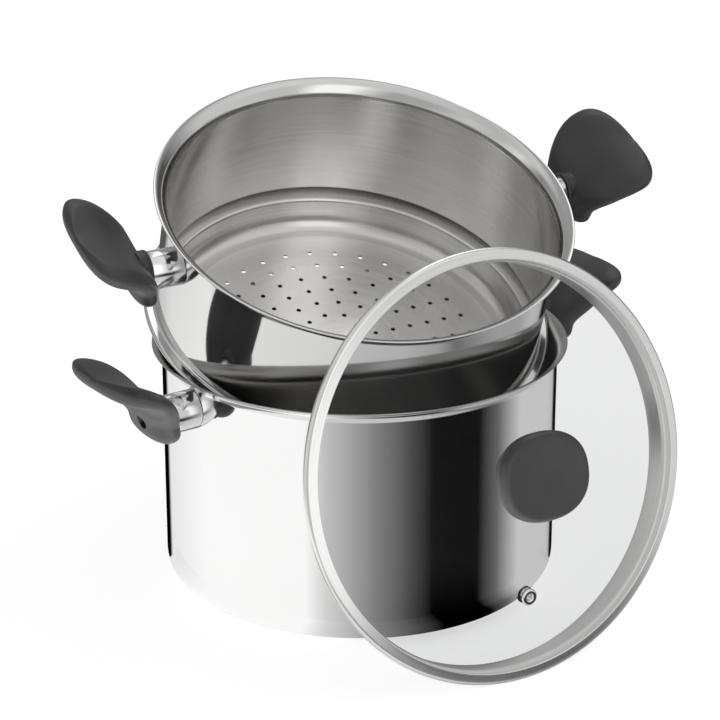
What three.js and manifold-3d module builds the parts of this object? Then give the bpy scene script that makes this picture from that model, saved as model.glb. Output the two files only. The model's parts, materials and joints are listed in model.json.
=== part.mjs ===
// A couscoussier: a stockpot, a perforated steamer basket tipped in its mouth, and its glass lid
// standing on the same surface in front. Millimetres, +Z up, origin in the middle of the pot's base.
// Profiles of round pieces are written as (radius, height) points.

import * as THREE from 'three';
import { mergeGeometries, mergeVertices } from 'three/addons/utils/BufferGeometryUtils.js';
import Module from 'manifold-3d';

const wasm = await Module();
wasm.setup();

// Clearances and facets
const seatGap = 0.3;              // left between pieces that rest on each other
const threadGap = 0.3;            // round a screw in its hole, on the radius
const roundSides = 40;            // sides of the large round pieces
const smallSides = 12;            // sides of screws, washers and other small round pieces

// Pot
const potRadius = 120;            // outside of the straight wall
const potHeight = 149.4;          // table to the top of the rim
const sheetThickness = 0.8;       // steel of the pot and of the basket
const potFlare = 6;               // how far the rim stands out past the wall
const flareSweep = 75;            // degrees that a rim turns through
const potCornerRadius = 14.5;     // outer radius between wall and base
const baseThickness = 4;          // heat-spreading base under the pot's floor
const baseSkin = 0.9;             // steel under the aluminium core

// Basket
const basketStep = 1.8;           // the basket's wall is this much smaller in radius than the pot's
const basketWallHeight = 83.2;    // seat bead to the top of the rim
const beadReach = 6.8;            // how far the seat bead stands out past the wall
const beadFold = 1.3;             // radius of the fold at the bead's nose
const beadFillet = 2.4;           // between wall and bead
const seatSlope = 3.5;            // how far the bead's underside falls towards the lower wall
const lowerStep = 4.4;            // the wall below the bead is this much smaller in radius
const lowerFillet = 2;            // between the bead's underside and the lower wall
const basketDrop = 26.8;          // seat bead to the underside of the floor
const basketCornerRadius = 11;    // between lower wall and floor
const holeRadius = 1.5;
const holeRingPitch = 12.05;      // step in radius from one ring of holes to the next
const firstHoleRing = 2;          // the innermost ring's number: its radius is that many pitches
const lastHoleRing = 7;
const holesPerRingStep = 4;       // each ring has this many more holes than the one inside it
const holeSides = 6;

// How the basket lies in the pot's mouth
const tipAngle = 21.447;          // degrees that its axis leans
const tipAzimuth = -67.668;       // degrees, the way it leans
const tipShift = 20.3;            // middle of the bead from the pot's axis, uphill

// Handles
const potHandleAzimuth = -144.5;  // degrees, the left one; the other is opposite
const potHandleDrop = 19.2;       // rim to the handle's axis
const basketHandleAzimuth = -85.4;  // degrees from the basket's lowest side
const basketHandleDrop = 22.2;
const sleeveLength = 19.5;        // wall to the end of the polished sleeve
const sleeveHalfWidth = 11;
const sleeveHalfHeight = 12;
const sleeveWall = 1;
const collarRim = 1.2;            // the grip's collar stands out past the sleeve
const studFlangeRadius = 8;
const studFlangeThickness = 2;
const studRadius = 4.6;
const studLength = 12;
const screwRadius = 2.45;
const threadLength = 7;           // how far a screw goes into its stud
const screwHeadRadius = 4.2;
const screwHeadThickness = 3;
const recessDepth = 6.4;          // the screw's recess in the grip
const gripRootDepth = 7.8;        // half the root's thickness
const gripRootWidth = 22.5;       // half the root's width
const gripRootFoot = 14.4;        // axis down to the root's lowest point
const gripNeckWidth = 21.5;       // half the width where the paddle starts
const gripNeckHeight = 10;
const paddleWidth = 37;           // half the widest width of the paddle
const paddleReach = 39.9;         // middle of the root to the paddle's tip
const paddleRise = 31.2;          // axis to the paddle's tip
const paddleBendRise = 33.5;      // axis to the bend that the paddle's middle line curves round
const paddleDepth = 3.4;          // half the paddle's thickness
const paddleWidest = 0.7;         // share of the paddle's length at its widest place
const gripSteps = 11;             // sections along a grip
const gripSides = 14;             // points round a section

// Lid
const lidInset = 1.8;             // the lid's bead is this much smaller in radius than the rims
const lidTilt = 75.782;           // degrees that its axis leans from upright
const lidAzimuth = -59.6;         // degrees, the way the lid faces
const lidClearance = 8.3;         // lid's rim plane to the nearest point of the basket's rim
const tableGap = 0.2;             // under the lid's lowest point
const glassThickness = 4;
const glassRise = 24;             // rim plane to the top of the glass
const bandSheet = 0.8;
const bandLip = 6.6;              // how far the band covers the glass, in from its bead
const skirtClearance = 1.5;       // between the lid's skirt and the basket's wall
const skirtDepth = 16;
const skirtFillet = 1.7;
const knobHalfLength = 31;
const knobHalfWidth = 25;
const knobFootRadius = 14;
const knobNeckRadius = 11.5;
const knobHeight = 23.4;          // glass to the knob's top edge
const knobDish = 1;               // how far the top dips in the middle
const knobScrewDepth = 10;        // thread inside the knob
const knobHeadRadius = 4.6;
const knobHeadThickness = 2.6;
const washerRadius = 8;
const washerThickness = 1.2;
const ventRadius = 73;            // lid's axis to the vent
const ventBore = 1.8;
const ventTube = 3;               // outer radius of the eyelet's tube
const ventFlange = 5;
const ventFlangeThickness = 1;
const gasketThickness = 0.8;

const steel = { color: 0xd6d6d4, metalness: 1, roughness: 0.16 };
const aluminium = { color: 0xb9bbbd, metalness: 1, roughness: 0.45 };
const bakelite = { color: 0x3c3c3d, metalness: 0, roughness: 0.5 };
const clearGlass = { color: 0xeef2f1, metalness: 0, roughness: 0.04, transparent: true, opacity: 0.3 };
const rubber = { color: 0x2a2a2a, metalness: 0, roughness: 0.8 };

const weldDistance = 1e-4;
const degrees = THREE.MathUtils.degToRad;
const at = (radius, height) => new THREE.Vector2(radius, height);

function piece(name, geometry, finish) {
  const mesh = new THREE.Mesh(geometry, new THREE.MeshStandardMaterial(finish));
  mesh.name = name;
  return mesh;
}

// Points of an arc in a profile, from one angle in degrees to another.
function arc(centre, radius, from, to, steps) {
  const points = [];
  for (let i = 0; i <= steps; i += 1) {
    const angle = degrees(THREE.MathUtils.lerp(from, to, i / steps));
    points.push(at(centre.x + radius * Math.cos(angle), centre.y + radius * Math.sin(angle)));
  }
  return points;
}

// A line moved sideways by a distance, to the right of the way it runs.
function offsetLine(line, distance) {
  return line.map((point, i) => {
    const before = line[Math.max(i - 1, 0)];
    const after = line[Math.min(i + 1, line.length - 1)];
    const arriving = i > 0 ? point.clone().sub(before).normalize() : after.clone().sub(point).normalize();
    const leaving = i < line.length - 1 ? after.clone().sub(point).normalize() : arriving;
    const sum = at(arriving.y + leaving.y, -arriving.x - leaving.x);
    const side = sum.divideScalar(1 + arriving.dot(leaving));
    return point.clone().addScaledVector(side, distance);
  });
}

function distanceToSegment(point, from, to) {
  const run = to.clone().sub(from);
  const share = THREE.MathUtils.clamp(point.clone().sub(from).dot(run) / run.lengthSq(), 0, 1);
  return point.distanceTo(from.clone().addScaledVector(run, share));
}

// How far the flats of a large round piece lie inside its true radius.
function facetSag(radius) {
  return radius * (1 - Math.cos(Math.PI / roundSides));
}

// The outline of a sheet of even thickness that follows a middle line.
function sheetOutline(line, thickness) {
  const right = offsetLine(line, thickness / 2);
  const left = offsetLine(line, -thickness / 2);
  const outline = [...right, ...left.reverse()];
  if (line[0].x > 0) outline.push(outline[0].clone());
  return outline;
}

// Merged, with no slivers, and with its faces pointing out.
function closedSkin(geometry) {
  geometry.deleteAttribute('normal');
  geometry.deleteAttribute('uv');
  const skin = mergeVertices(geometry, weldDistance);
  const corner = (i) => new THREE.Vector3().fromBufferAttribute(skin.attributes.position, i);
  const kept = [];
  let volume = 0;
  for (let i = 0; i < skin.index.count; i += 3) {
    const [a, b, c] = [0, 1, 2].map((k) => skin.index.getX(i + k));
    if (a === b || b === c || c === a) continue;
    kept.push([a, b, c]);
    volume += corner(a).dot(corner(b).cross(corner(c)));
  }
  skin.setIndex(kept.flatMap(([a, b, c]) => (volume > 0 ? [a, b, c] : [a, c, b])));
  skin.computeVertexNormals();
  return skin;
}

// A profile turned about the Z axis.
function spun(profile, sides) {
  const geometry = new THREE.LatheGeometry(profile, sides);
  geometry.rotateX(Math.PI / 2);
  return closedSkin(geometry);
}

// A solid of round steps: each step is a radius and the height that it ends at.
function spunSteps(start, steps, sides) {
  const profile = [at(0, start)];
  let height = start;
  for (const [radius, end] of steps) {
    profile.push(at(radius, height), at(radius, end));
    height = end;
  }
  profile.push(at(0, height));
  return spun(profile, sides);
}

// A solid through a row of rings with equal numbers of points.
function loft(rings) {
  const sides = rings[0].length;
  const positions = rings.flat().flatMap((point) => point.toArray());
  const index = [];
  for (let row = 0; row < rings.length - 1; row += 1) {
    for (let i = 0; i < sides; i += 1) {
      const a = row * sides + i;
      const b = row * sides + (i + 1) % sides;
      index.push(a, b, b + sides, a, b + sides, a + sides);
    }
  }
  for (const row of [0, rings.length - 1]) {
    const middle = new THREE.Vector3();
    rings[row].forEach((point) => middle.addScaledVector(point, 1 / sides));
    positions.push(...middle.toArray());
    const hub = positions.length / 3 - 1;
    for (let i = 0; i < sides; i += 1) {
      const edge = [row * sides + i, row * sides + (i + 1) % sides];
      index.push(hub, ...(row === 0 ? edge.reverse() : edge));
    }
  }
  const geometry = new THREE.BufferGeometry();
  geometry.setAttribute('position', new THREE.Float32BufferAttribute(positions, 3));
  geometry.setIndex(index);
  return closedSkin(geometry);
}

// One ring of a loft: a rounded oval in the plane of two directions. Higher powers are squarer.
function oval(centre, across, halfAcross, along, halfAlong, power, sides) {
  const ring = [];
  const squared = (value) => Math.sign(value) * Math.abs(value) ** (2 / power);
  for (let i = 0; i < sides; i += 1) {
    const angle = (2 * Math.PI * i) / sides;
    const point = centre.clone().addScaledVector(across, halfAcross * squared(Math.cos(angle)));
    ring.push(point.addScaledVector(along, halfAlong * squared(Math.sin(angle))));
  }
  return ring;
}

function solidOf(geometry) {
  const vertProperties = new Float32Array(geometry.attributes.position.array);
  const triVerts = new Uint32Array(geometry.index.array);
  return new wasm.Manifold(new wasm.Mesh({ numProp: 3, vertProperties, triVerts }));
}

function geometryOf(solid) {
  const mesh = solid.getMesh();
  const geometry = new THREE.BufferGeometry();
  geometry.setAttribute('position', new THREE.BufferAttribute(mesh.vertProperties, 3));
  geometry.setIndex(new THREE.BufferAttribute(mesh.triVerts, 1));
  geometry.computeVertexNormals();
  return geometry;
}

function joined(base, extra) {
  return geometryOf(solidOf(base).add(solidOf(extra)));
}

function cutBy(base, ...tools) {
  return geometryOf(tools.reduce((left, tool) => left.subtract(solidOf(tool)), solidOf(base)));
}

// Turns a shape built along Z so that it runs along X, the way a handle points.
function alongX(geometry) {
  const toX = new THREE.Matrix4().makeBasis(
    new THREE.Vector3(0, 1, 0), new THREE.Vector3(0, 0, 1), new THREE.Vector3(1, 0, 0));
  return geometry.applyMatrix4(toX);
}

// Rims: both the pot and the basket end in the same flare
const rimRadius = potRadius + potFlare;
const rimSweep = degrees(flareSweep);

// The middle line of a wall's flare, ending at the height of the rim's top.
function flareLine(wallRadius, top, steps) {
  const reach = rimRadius - sheetThickness / 2 - wallRadius;
  const bend = reach / (1 - Math.cos(rimSweep));
  const start = top - (sheetThickness / 2) * Math.sin(rimSweep) - bend * Math.sin(rimSweep);
  return arc(at(wallRadius + bend, start), bend, 180, 180 - flareSweep, steps);
}

// Pot: a drawn shell, an aluminium core under its floor, and a steel cap that closes the core in
const potCorner = at(potRadius - potCornerRadius, potCornerRadius);

// The angle at which the pot's bottom corner, drawn at some radius, reaches a height.
function cornerAngle(radius, height) {
  return THREE.MathUtils.radToDeg(Math.asin((height - potCorner.y) / radius));
}

function potLine() {
  const floor = baseThickness + seatGap + sheetThickness / 2;
  const bend = potCornerRadius - sheetThickness / 2;
  return [
    at(0, floor),
    ...arc(potCorner, bend, cornerAngle(bend, floor), 0, 3),
    ...flareLine(potRadius - sheetThickness / 2, potHeight, 3),
  ];
}

function buildPot() {
  const coreRadius = potCorner.x;
  const capProfile = [
    at(0, 0),
    ...arc(potCorner, potCornerRadius, -90, cornerAngle(potCornerRadius, baseThickness), 3),
    at(coreRadius + seatGap, baseThickness),
    at(coreRadius + seatGap, baseSkin),
    at(0, baseSkin),
  ];
  const coreSteps = [[coreRadius, baseThickness]];
  const pot = new THREE.Group();
  pot.add(
    piece('pot_body', spun(sheetOutline(potLine(), sheetThickness), roundSides), steel),
    piece('pot_base_core', spunSteps(baseSkin + seatGap, coreSteps, roundSides), aluminium),
    piece('pot_base_cap', spun(capProfile, roundSides), steel),
  );
  return pot;
}

// Basket: its own frame has the seat bead's middle plane at height 0
const basketRadius = potRadius - basketStep;

function perforations() {
  const prisms = [];
  const reach = basketDrop;
  for (let ring = firstHoleRing; ring <= lastHoleRing; ring += 1) {
    const count = holesPerRingStep * (ring + 1);
    for (let i = 0; i < count; i += 1) {
      const angle = degrees(basketHandleAzimuth) + (2 * Math.PI * i) / count;
      const prism = new THREE.CylinderGeometry(holeRadius, holeRadius, reach, holeSides);
      prism.rotateX(Math.PI / 2);
      prism.rotateZ(angle);
      const radius = ring * holeRingPitch;
      prism.translate(radius * Math.cos(angle), radius * Math.sin(angle), -basketDrop);
      prisms.push(closedSkin(prism));
    }
  }
  return closedSkin(mergeGeometries(prisms));
}

function basketLine() {
  const wall = basketRadius - sheetThickness / 2;
  const lowerWall = wall - lowerStep;
  const floor = -basketDrop + sheetThickness / 2;
  const corner = basketCornerRadius - sheetThickness / 2;
  const nose = wall + beadReach - beadFold;
  return [
    at(0, floor),
    ...arc(at(lowerWall - corner, floor + corner), corner, -90, 0, 3),
    ...arc(at(lowerWall + lowerFillet, -beadFold - seatSlope - lowerFillet), lowerFillet, 180, 90, 2),
    ...arc(at(nose, 0), beadFold, -90, 90, 3),
    ...arc(at(wall + beadFillet, beadFold + beadFillet), beadFillet, 270, 180, 2),
    ...flareLine(wall, basketWallHeight, 3),
  ];
}

function buildBasketBody() {
  const shell = spun(sheetOutline(basketLine(), sheetThickness), roundSides);
  return piece('basket_body', cutBy(shell, perforations()), steel);
}

// The height of the bead's middle at which the tipped basket comes to rest on the pot's rim.
function basketRestHeight() {
  const apart = sheetThickness + seatGap + facetSag(potRadius);
  const uphill = degrees(tipAzimuth + 180);
  const start = new THREE.Vector3(tipShift * Math.cos(uphill), tipShift * Math.sin(uphill), 0);
  const tip = new THREE.Euler(0, degrees(tipAngle), degrees(tipAzimuth), 'ZYX');
  const points = [];
  for (const { x: radius, y: height } of basketLine()) {
    for (let turn = 0; turn < 360; turn += 2) {
      const angle = degrees(turn);
      const point = new THREE.Vector3(radius * Math.cos(angle), radius * Math.sin(angle), height);
      points.push(point.applyEuler(tip).add(start));
    }
  }
  const wall = potLine();
  const isClear = (lift) => points.every((point) => {
    const spot = at(Math.hypot(point.x, point.y), point.z + lift);
    if (spot.y > potHeight + apart) return true;
    if (spot.x > rimRadius + apart) return false;
    return wall.every((corner, i) => i === 0 || distanceToSegment(spot, wall[i - 1], corner) >= apart);
  });
  let clear = potHeight + potRadius;
  for (let step = potRadius; step > 0.01; step /= 2) {
    if (isClear(clear - step)) clear -= step;
  }
  return clear;
}

// Handles: built with the wall at x = 0 on the handle's axis, pointing along +X
const gripAcross = new THREE.Vector3(0, 1, 0);
const gripRootReach = sleeveLength + seatGap + gripRootDepth;

function ovalBar(halfWidth, halfHeight, from, to) {
  const bar = new THREE.Shape();
  bar.absellipse(0, 0, halfWidth, halfHeight, 0, 2 * Math.PI);
  const geometry = new THREE.ExtrudeGeometry(
    bar, { depth: to - from, bevelEnabled: false, curveSegments: smallSides });
  geometry.translate(0, 0, from);
  return closedSkin(alongX(geometry));
}

function roundBar(radius, from, to) {
  return alongX(spunSteps(from, [[radius, to]], smallSides));
}

// The vessel filled solid, with clearance, for shaping what is fixed to its wall.
function wallCutter(vesselLine, wallRadius, height) {
  const outside = offsetLine(vesselLine, sheetThickness / 2 + seatGap + facetSag(wallRadius));
  const cutter = spun([...outside, at(0, outside.at(-1).y)], roundSides);
  return cutter.translate(-wallRadius, 0, -height);
}

// Sections run up the root, round the bend and out along the paddle to its tip.
function gripBody() {
  const footLength = 0.55;    // share of the root that the rounded foot takes up
  const fullness = 2.3;       // how squarely the paddle's end and sections are rounded
  const endMargin = 0.004;    // the end sections stop this share short of the tips
  const foot = new THREE.Vector3(gripRootReach, 0, -gripRootFoot);
  const neck = new THREE.Vector3(gripRootReach, 0, gripNeckHeight);
  const bend = new THREE.Vector3(gripRootReach, 0, paddleBendRise);
  const tip = new THREE.Vector3(gripRootReach + paddleReach, 0, paddleRise);
  const spine = new THREE.CurvePath();
  spine.add(new THREE.LineCurve3(foot, neck));
  spine.add(new THREE.QuadraticBezierCurve3(neck, bend, tip));
  const rootShare = foot.distanceTo(neck) / spine.getLength();
  const rings = [];
  for (let i = 0; i <= gripSteps; i += 1) {
    const even = (1 - Math.cos((Math.PI * i) / gripSteps)) / 2;
    const share = THREE.MathUtils.clamp(even, endMargin, 1 - endMargin);
    const root = Math.min(share / rootShare, 1);
    const paddle = Math.max((share - rootShare) / (1 - rootShare), 0);
    const footRound = Math.sqrt(1 - (1 - Math.min(root / footLength, 1)) ** 2);
    const swell = Math.sin((Math.PI / 2) * Math.min(paddle / paddleWidest, 1)) ** 2;
    const ending = Math.max((paddle - paddleWidest) / (1 - paddleWidest), 0);
    const tipRound = (1 - ending ** fullness) ** (1 / fullness);
    const rootWidth = THREE.MathUtils.lerp(gripRootWidth, gripNeckWidth, root) * footRound;
    const widening = THREE.MathUtils.lerp(gripNeckWidth, paddleWidth, swell) * tipRound;
    const thinning = THREE.MathUtils.smoothstep(share, rootShare / 2, (1 + rootShare) / 2);
    const depth = THREE.MathUtils.lerp(gripRootDepth, paddleDepth, thinning);
    const ahead = spine.getTangentAt(share);
    const depthWay = new THREE.Vector3(ahead.z, 0, -ahead.x);
    rings.push(oval(spine.getPointAt(share), gripAcross, root < 1 ? rootWidth : widening,
      depthWay, depth * footRound * Math.sqrt(tipRound), fullness, gripSides));
  }
  return loft(rings);
}

function buildHandle(name, cutter) {
  const stud = alongX(spunSteps(-studFlangeThickness, [
    [studFlangeRadius, studFlangeThickness], [studRadius, studLength]], smallSides));
  const screwEnd = studLength - threadLength;
  const studBore = roundBar(screwRadius + threadGap, screwEnd - seatGap, studLength + seatGap);
  const sleeveOut = ovalBar(sleeveHalfWidth, sleeveHalfHeight, -sleeveLength, sleeveLength);
  const sleeveIn = ovalBar(
    sleeveHalfWidth - sleeveWall, sleeveHalfHeight - sleeveWall, -2 * sleeveLength, 2 * sleeveLength);
  const collar = ovalBar(sleeveHalfWidth + collarRim, sleeveHalfHeight + collarRim,
    sleeveLength + seatGap, gripRootReach);
  const recessFloor = gripRootReach + gripRootDepth - recessDepth;
  const pastGrip = gripRootReach + paddleReach;
  const screwHole = roundBar(screwRadius + threadGap, 0, pastGrip);
  const headHole = roundBar(screwHeadRadius + threadGap, recessFloor, pastGrip);
  const headSeat = recessFloor + seatGap;
  const screw = alongX(spunSteps(screwEnd, [
    [screwRadius, headSeat], [screwHeadRadius, headSeat + screwHeadThickness]], smallSides));
  const handle = new THREE.Group();
  handle.add(
    piece(`${name}_stud`, cutBy(stud, cutter, studBore), steel),
    piece(`${name}_sleeve`, cutBy(sleeveOut, sleeveIn, cutter), steel),
    piece(`${name}_grip`, cutBy(joined(gripBody(), collar), screwHole, headHole), bakelite),
    piece(`${name}_screw`, screw, steel),
  );
  return handle;
}

// A pair of handles on opposite sides of a vessel.
function addHandles(vessel, name, vesselLine, wallRadius, azimuth, height) {
  const cutter = wallCutter(vesselLine, wallRadius, height);
  for (const [side, turn] of [['left', 0], ['right', 180]]) {
    const handle = buildHandle(`${name}_${side}`, cutter);
    const angle = degrees(azimuth + turn);
    handle.position.set(wallRadius * Math.cos(angle), wallRadius * Math.sin(angle), height);
    handle.rotation.z = angle;
    vessel.add(handle);
  }
}

// Lid: its own frame has the rim's plane at height 0 and the knob on +Z
const lidRadius = rimRadius - lidInset;
const skirtRadius = basketRadius - sheetThickness - skirtClearance - bandSheet / 2;
const channelHalf = (glassThickness + 2 * seatGap + bandSheet) / 2;
const noseCentre = at(lidRadius - bandSheet / 2 - channelHalf, 0);
const glassRadius = noseCentre.x - seatGap;
const glassEdge = channelHalf - bandSheet / 2 - seatGap;
const domeRise = glassRise - glassEdge;
const domeRadius = (glassRadius ** 2 + domeRise ** 2) / (2 * domeRise);
const domeCentre = at(0, glassRise - domeRadius);
const domeAngle = THREE.MathUtils.radToDeg(Math.acos(glassRadius / domeRadius));
const domeHeight = (radius) => domeCentre.y + Math.sqrt(domeRadius ** 2 - radius ** 2);
const knobHoleRadius = screwRadius + threadGap;

// The vent's own frame has the outside of the glass at height 0.
function placeVent(part) {
  const lean = Math.asin(ventRadius / domeRadius);
  part.rotateY(lean);
  return part.translate(ventRadius, 0, domeHeight(ventRadius));
}

function buildGlass() {
  const outline = [
    ...arc(domeCentre, domeRadius, 90, domeAngle, 5),
    ...arc(domeCentre, domeRadius - glassThickness, domeAngle, 90, 5),
  ];
  outline[0].x = 0;
  outline[outline.length - 1].x = 0;
  const through = glassThickness + glassRise;
  const knobHole = spunSteps(0, [[knobHoleRadius, 2 * through]], smallSides);
  const ventHole = placeVent(spunSteps(-through, [[ventTube + threadGap, through]], smallSides));
  return cutBy(spun(outline, roundSides), knobHole, ventHole);
}

function buildBand() {
  const lipRadius = lidRadius - bandLip;
  const lift = seatGap + bandSheet / 2;
  const line = [
    at(skirtRadius, -skirtDepth),
    ...arc(at(skirtRadius + skirtFillet, -channelHalf - skirtFillet), skirtFillet, 180, 90, 2),
    ...arc(noseCentre, channelHalf, -90, 90, 4),
    at(lipRadius, domeHeight(lipRadius) + lift),
  ];
  return spun(sheetOutline(line, bandSheet), roundSides);
}

// Oval head on a round neck and foot. Each section has its share of the knob's height, how far its
// outline has gone from the neck's size to the head's, and how squarely it is rounded.
function buildKnob() {
  const foot = glassRise + seatGap;
  const knobSides = 2 * smallSides;
  const across = new THREE.Vector3(0, 1, 0);
  const along = new THREE.Vector3(-1, 0, 0);
  const headSections = [
    [0.27, 0, 2],
    [0.42, 0.08, 2],
    [0.57, 0.62, 2.2],
    [0.7, 0.92, 2.3],
    [0.82, 1, 2.3],
    [0.94, 0.95, 2.3],
    [1, 0.8, 2.3],
  ];
  const level = (share) => new THREE.Vector3(0, 0, foot + share * knobHeight);
  const rings = [0, 0.1].map((share) => oval(
    level(share), across, knobFootRadius, along, knobFootRadius, 2, knobSides));
  for (const [share, growth, fullness] of headSections) {
    const halfLength = THREE.MathUtils.lerp(knobNeckRadius, knobHalfLength, growth);
    const halfWidth = THREE.MathUtils.lerp(knobNeckRadius, knobHalfWidth, growth);
    rings.push(oval(level(share), across, halfLength, along, halfWidth, fullness, knobSides));
  }
  const dishFloor = level(1 - knobDish / knobHeight);
  rings.push(oval(dishFloor, across, knobNeckRadius, along, knobNeckRadius, 2, knobSides));
  const bore = spunSteps(foot - glassThickness, [
    [knobHoleRadius, foot + knobScrewDepth + seatGap]], smallSides);
  return cutBy(loft(rings), bore);
}

function buildLid() {
  const under = glassRise - glassThickness - seatGap;
  const washerHole = spunSteps(under - 2 * washerThickness, [[knobHoleRadius, glassRise]], smallSides);
  const washer = cutBy(spunSteps(under - washerThickness, [[washerRadius, under]], smallSides), washerHole);
  const headTop = under - washerThickness - seatGap;
  const screw = spunSteps(headTop - knobHeadThickness, [
    [knobHeadRadius, headTop], [screwRadius, glassRise + knobScrewDepth]], smallSides);
  const front = gasketThickness + 2 * seatGap;
  const back = -glassThickness - seatGap;
  const eyelet = spunSteps(back - ventFlangeThickness, [
    [ventFlange, back], [ventTube, front], [ventFlange, front + ventFlangeThickness]], smallSides);
  const eyeletBore = spunSteps(2 * back, [[ventBore, -2 * back]], smallSides);
  const gasketHole = spunSteps(back, [[ventTube + threadGap, -back]], smallSides);
  const gasket = spunSteps(seatGap, [[ventFlange, seatGap + gasketThickness]], smallSides);
  const lid = new THREE.Group();
  lid.add(
    piece('lid_glass', buildGlass(), clearGlass),
    piece('lid_band', buildBand(), steel),
    piece('lid_knob', buildKnob(), bakelite),
    piece('lid_knob_washer', washer, steel),
    piece('lid_knob_screw', screw, steel),
    piece('lid_vent_eyelet', placeVent(cutBy(eyelet, eyeletBore)), steel),
    piece('lid_vent_gasket', placeVent(cutBy(gasket, gasketHole)), rubber),
  );
  return lid;
}

// A group whose own +Z leans by an angle towards an azimuth.
function leaning(inner, angle, azimuth) {
  const turned = new THREE.Group();
  turned.rotation.set(0, degrees(angle), degrees(azimuth), 'ZYX');
  turned.add(inner);
  return turned;
}

function axisOf(group) {
  return new THREE.Vector3(0, 0, 1).applyEuler(group.rotation);
}

const couscoussier = new THREE.Group();
couscoussier.name = 'couscoussier';

const pot = buildPot();
addHandles(pot, 'pot', potLine(), potRadius, potHandleAzimuth, potHeight - potHandleDrop);
couscoussier.add(pot);

const basketParts = new THREE.Group();
basketParts.add(buildBasketBody());
addHandles(basketParts, 'basket', basketLine(), basketRadius, basketHandleAzimuth,
  basketWallHeight - basketHandleDrop);
const basket = leaning(basketParts, tipAngle, tipAzimuth);
const uphill = degrees(tipAzimuth + 180);
basket.position.set(tipShift * Math.cos(uphill), tipShift * Math.sin(uphill), basketRestHeight());
couscoussier.add(basket);

// The lid stands just in front of the foremost point of the basket's rim
const lid = leaning(buildLid(), lidTilt, lidAzimuth);
const basketAxis = axisOf(basket);
const lidAxis = axisOf(lid);
const rimCentre = basket.position.clone().addScaledVector(basketAxis, basketWallHeight);
const rimFront = rimCentre.dot(lidAxis) + rimRadius * Math.sqrt(1 - basketAxis.dot(lidAxis) ** 2);
const lidHeight = lidRadius * Math.sin(degrees(lidTilt)) + tableGap;
const lidReach = (rimFront + lidClearance - lidHeight * lidAxis.z) / Math.sin(degrees(lidTilt));
const lidWay = degrees(lidAzimuth);
lid.position.set(lidReach * Math.cos(lidWay), lidReach * Math.sin(lidWay), lidHeight);
couscoussier.add(lid);

export default couscoussier;
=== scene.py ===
import json
from math import acos, asin, atan2, copysign, cos, degrees, exp, pi, radians, sin, sqrt

import bmesh
import bpy
from mathutils import Matrix, Vector

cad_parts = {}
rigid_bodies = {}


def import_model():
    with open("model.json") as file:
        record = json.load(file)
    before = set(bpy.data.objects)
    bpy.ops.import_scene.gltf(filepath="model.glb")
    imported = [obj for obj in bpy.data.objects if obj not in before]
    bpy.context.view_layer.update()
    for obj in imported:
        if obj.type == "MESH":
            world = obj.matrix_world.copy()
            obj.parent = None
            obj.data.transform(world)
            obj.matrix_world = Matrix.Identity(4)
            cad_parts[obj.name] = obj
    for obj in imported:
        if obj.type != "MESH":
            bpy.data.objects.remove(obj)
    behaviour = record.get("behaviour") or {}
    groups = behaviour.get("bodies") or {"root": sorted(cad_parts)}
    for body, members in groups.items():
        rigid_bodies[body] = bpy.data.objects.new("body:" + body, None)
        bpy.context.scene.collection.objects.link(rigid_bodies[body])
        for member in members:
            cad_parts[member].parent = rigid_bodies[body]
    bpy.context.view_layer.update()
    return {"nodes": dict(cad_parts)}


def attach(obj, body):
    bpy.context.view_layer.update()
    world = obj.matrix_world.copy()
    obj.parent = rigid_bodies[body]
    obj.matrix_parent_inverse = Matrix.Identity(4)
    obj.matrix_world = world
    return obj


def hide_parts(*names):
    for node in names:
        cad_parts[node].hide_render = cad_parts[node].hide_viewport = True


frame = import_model()
cadNodes = frame["nodes"]
scene = bpy.context.scene
mm = 0.001  # the sizes below are in millimetres
print("frame loaded:", len(cadNodes), "nodes")

camera = {
    "lens": 128.32,
    "sensor": 36.0,
    "place": (0.41, -1459.6, 701.8),
    "aim": (0.41, 0.0, 133.57),
    "clip": (0.05, 50.0),  # metres
}


def addObject(name, data):
    made = bpy.data.objects.new(name, data)
    scene.collection.objects.link(made)
    return made


def newMesh(name, verts, faces=()):
    mesh = bpy.data.meshes.new(name)
    mesh.from_pydata(verts, [], faces)
    return mesh


def hideFrom(holder, *rays):
    for ray in rays:
        setattr(holder, "visible_" + ray, False)


def pointAt(holder, place, aim):
    holder.location = Vector(place) * mm
    holder.rotation_euler = (Vector(aim) * mm - holder.location).to_track_quat("-Z", "Y").to_euler()


def makeCamera():
    data = bpy.data.cameras.new("camera")
    data.lens = camera["lens"]
    data.sensor_width = camera["sensor"]
    data.clip_start, data.clip_end = camera["clip"]
    scene.camera = addObject("camera", data)
    pointAt(scene.camera, camera["place"], camera["aim"])


makeCamera()


# Node helpers: a value that is itself a socket gets a link, anything else is set on the input
def addNode(tree, kind, inputs=None, **settings):
    made = tree.nodes.new(kind)
    for key, value in settings.items():
        setattr(made, key, value)
    for key, value in (inputs or {}).items():
        if isinstance(value, bpy.types.NodeSocket):
            tree.links.new(value, made.inputs[key])
        else:
            made.inputs[key].default_value = value
    return made


def sums(tree, operation, first, second=0.0):
    return addNode(tree, "ShaderNodeMath", {0: first, 1: second}, operation=operation).outputs[0]


def vectorSums(tree, operation, inputs):
    return addNode(tree, "ShaderNodeVectorMath", inputs, operation=operation).outputs


def spread(tree, value, low, high, fromLow=0.0, fromHigh=1.0):
    made = addNode(tree, "ShaderNodeMapRange", {
        "Value": value, "From Min": fromLow, "From Max": fromHigh, "To Min": low, "To Max": high})
    return made.outputs["Result"]


def blendColour(tree, share, first, second):
    made = addNode(tree, "ShaderNodeMix", {"Factor": share}, data_type="RGBA")
    for socket, value in ((made.inputs[6], first), (made.inputs[7], second)):
        if isinstance(value, bpy.types.NodeSocket):
            tree.links.new(value, socket)
        else:
            socket.default_value = (*value, 1.0)
    return made.outputs[2]


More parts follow.
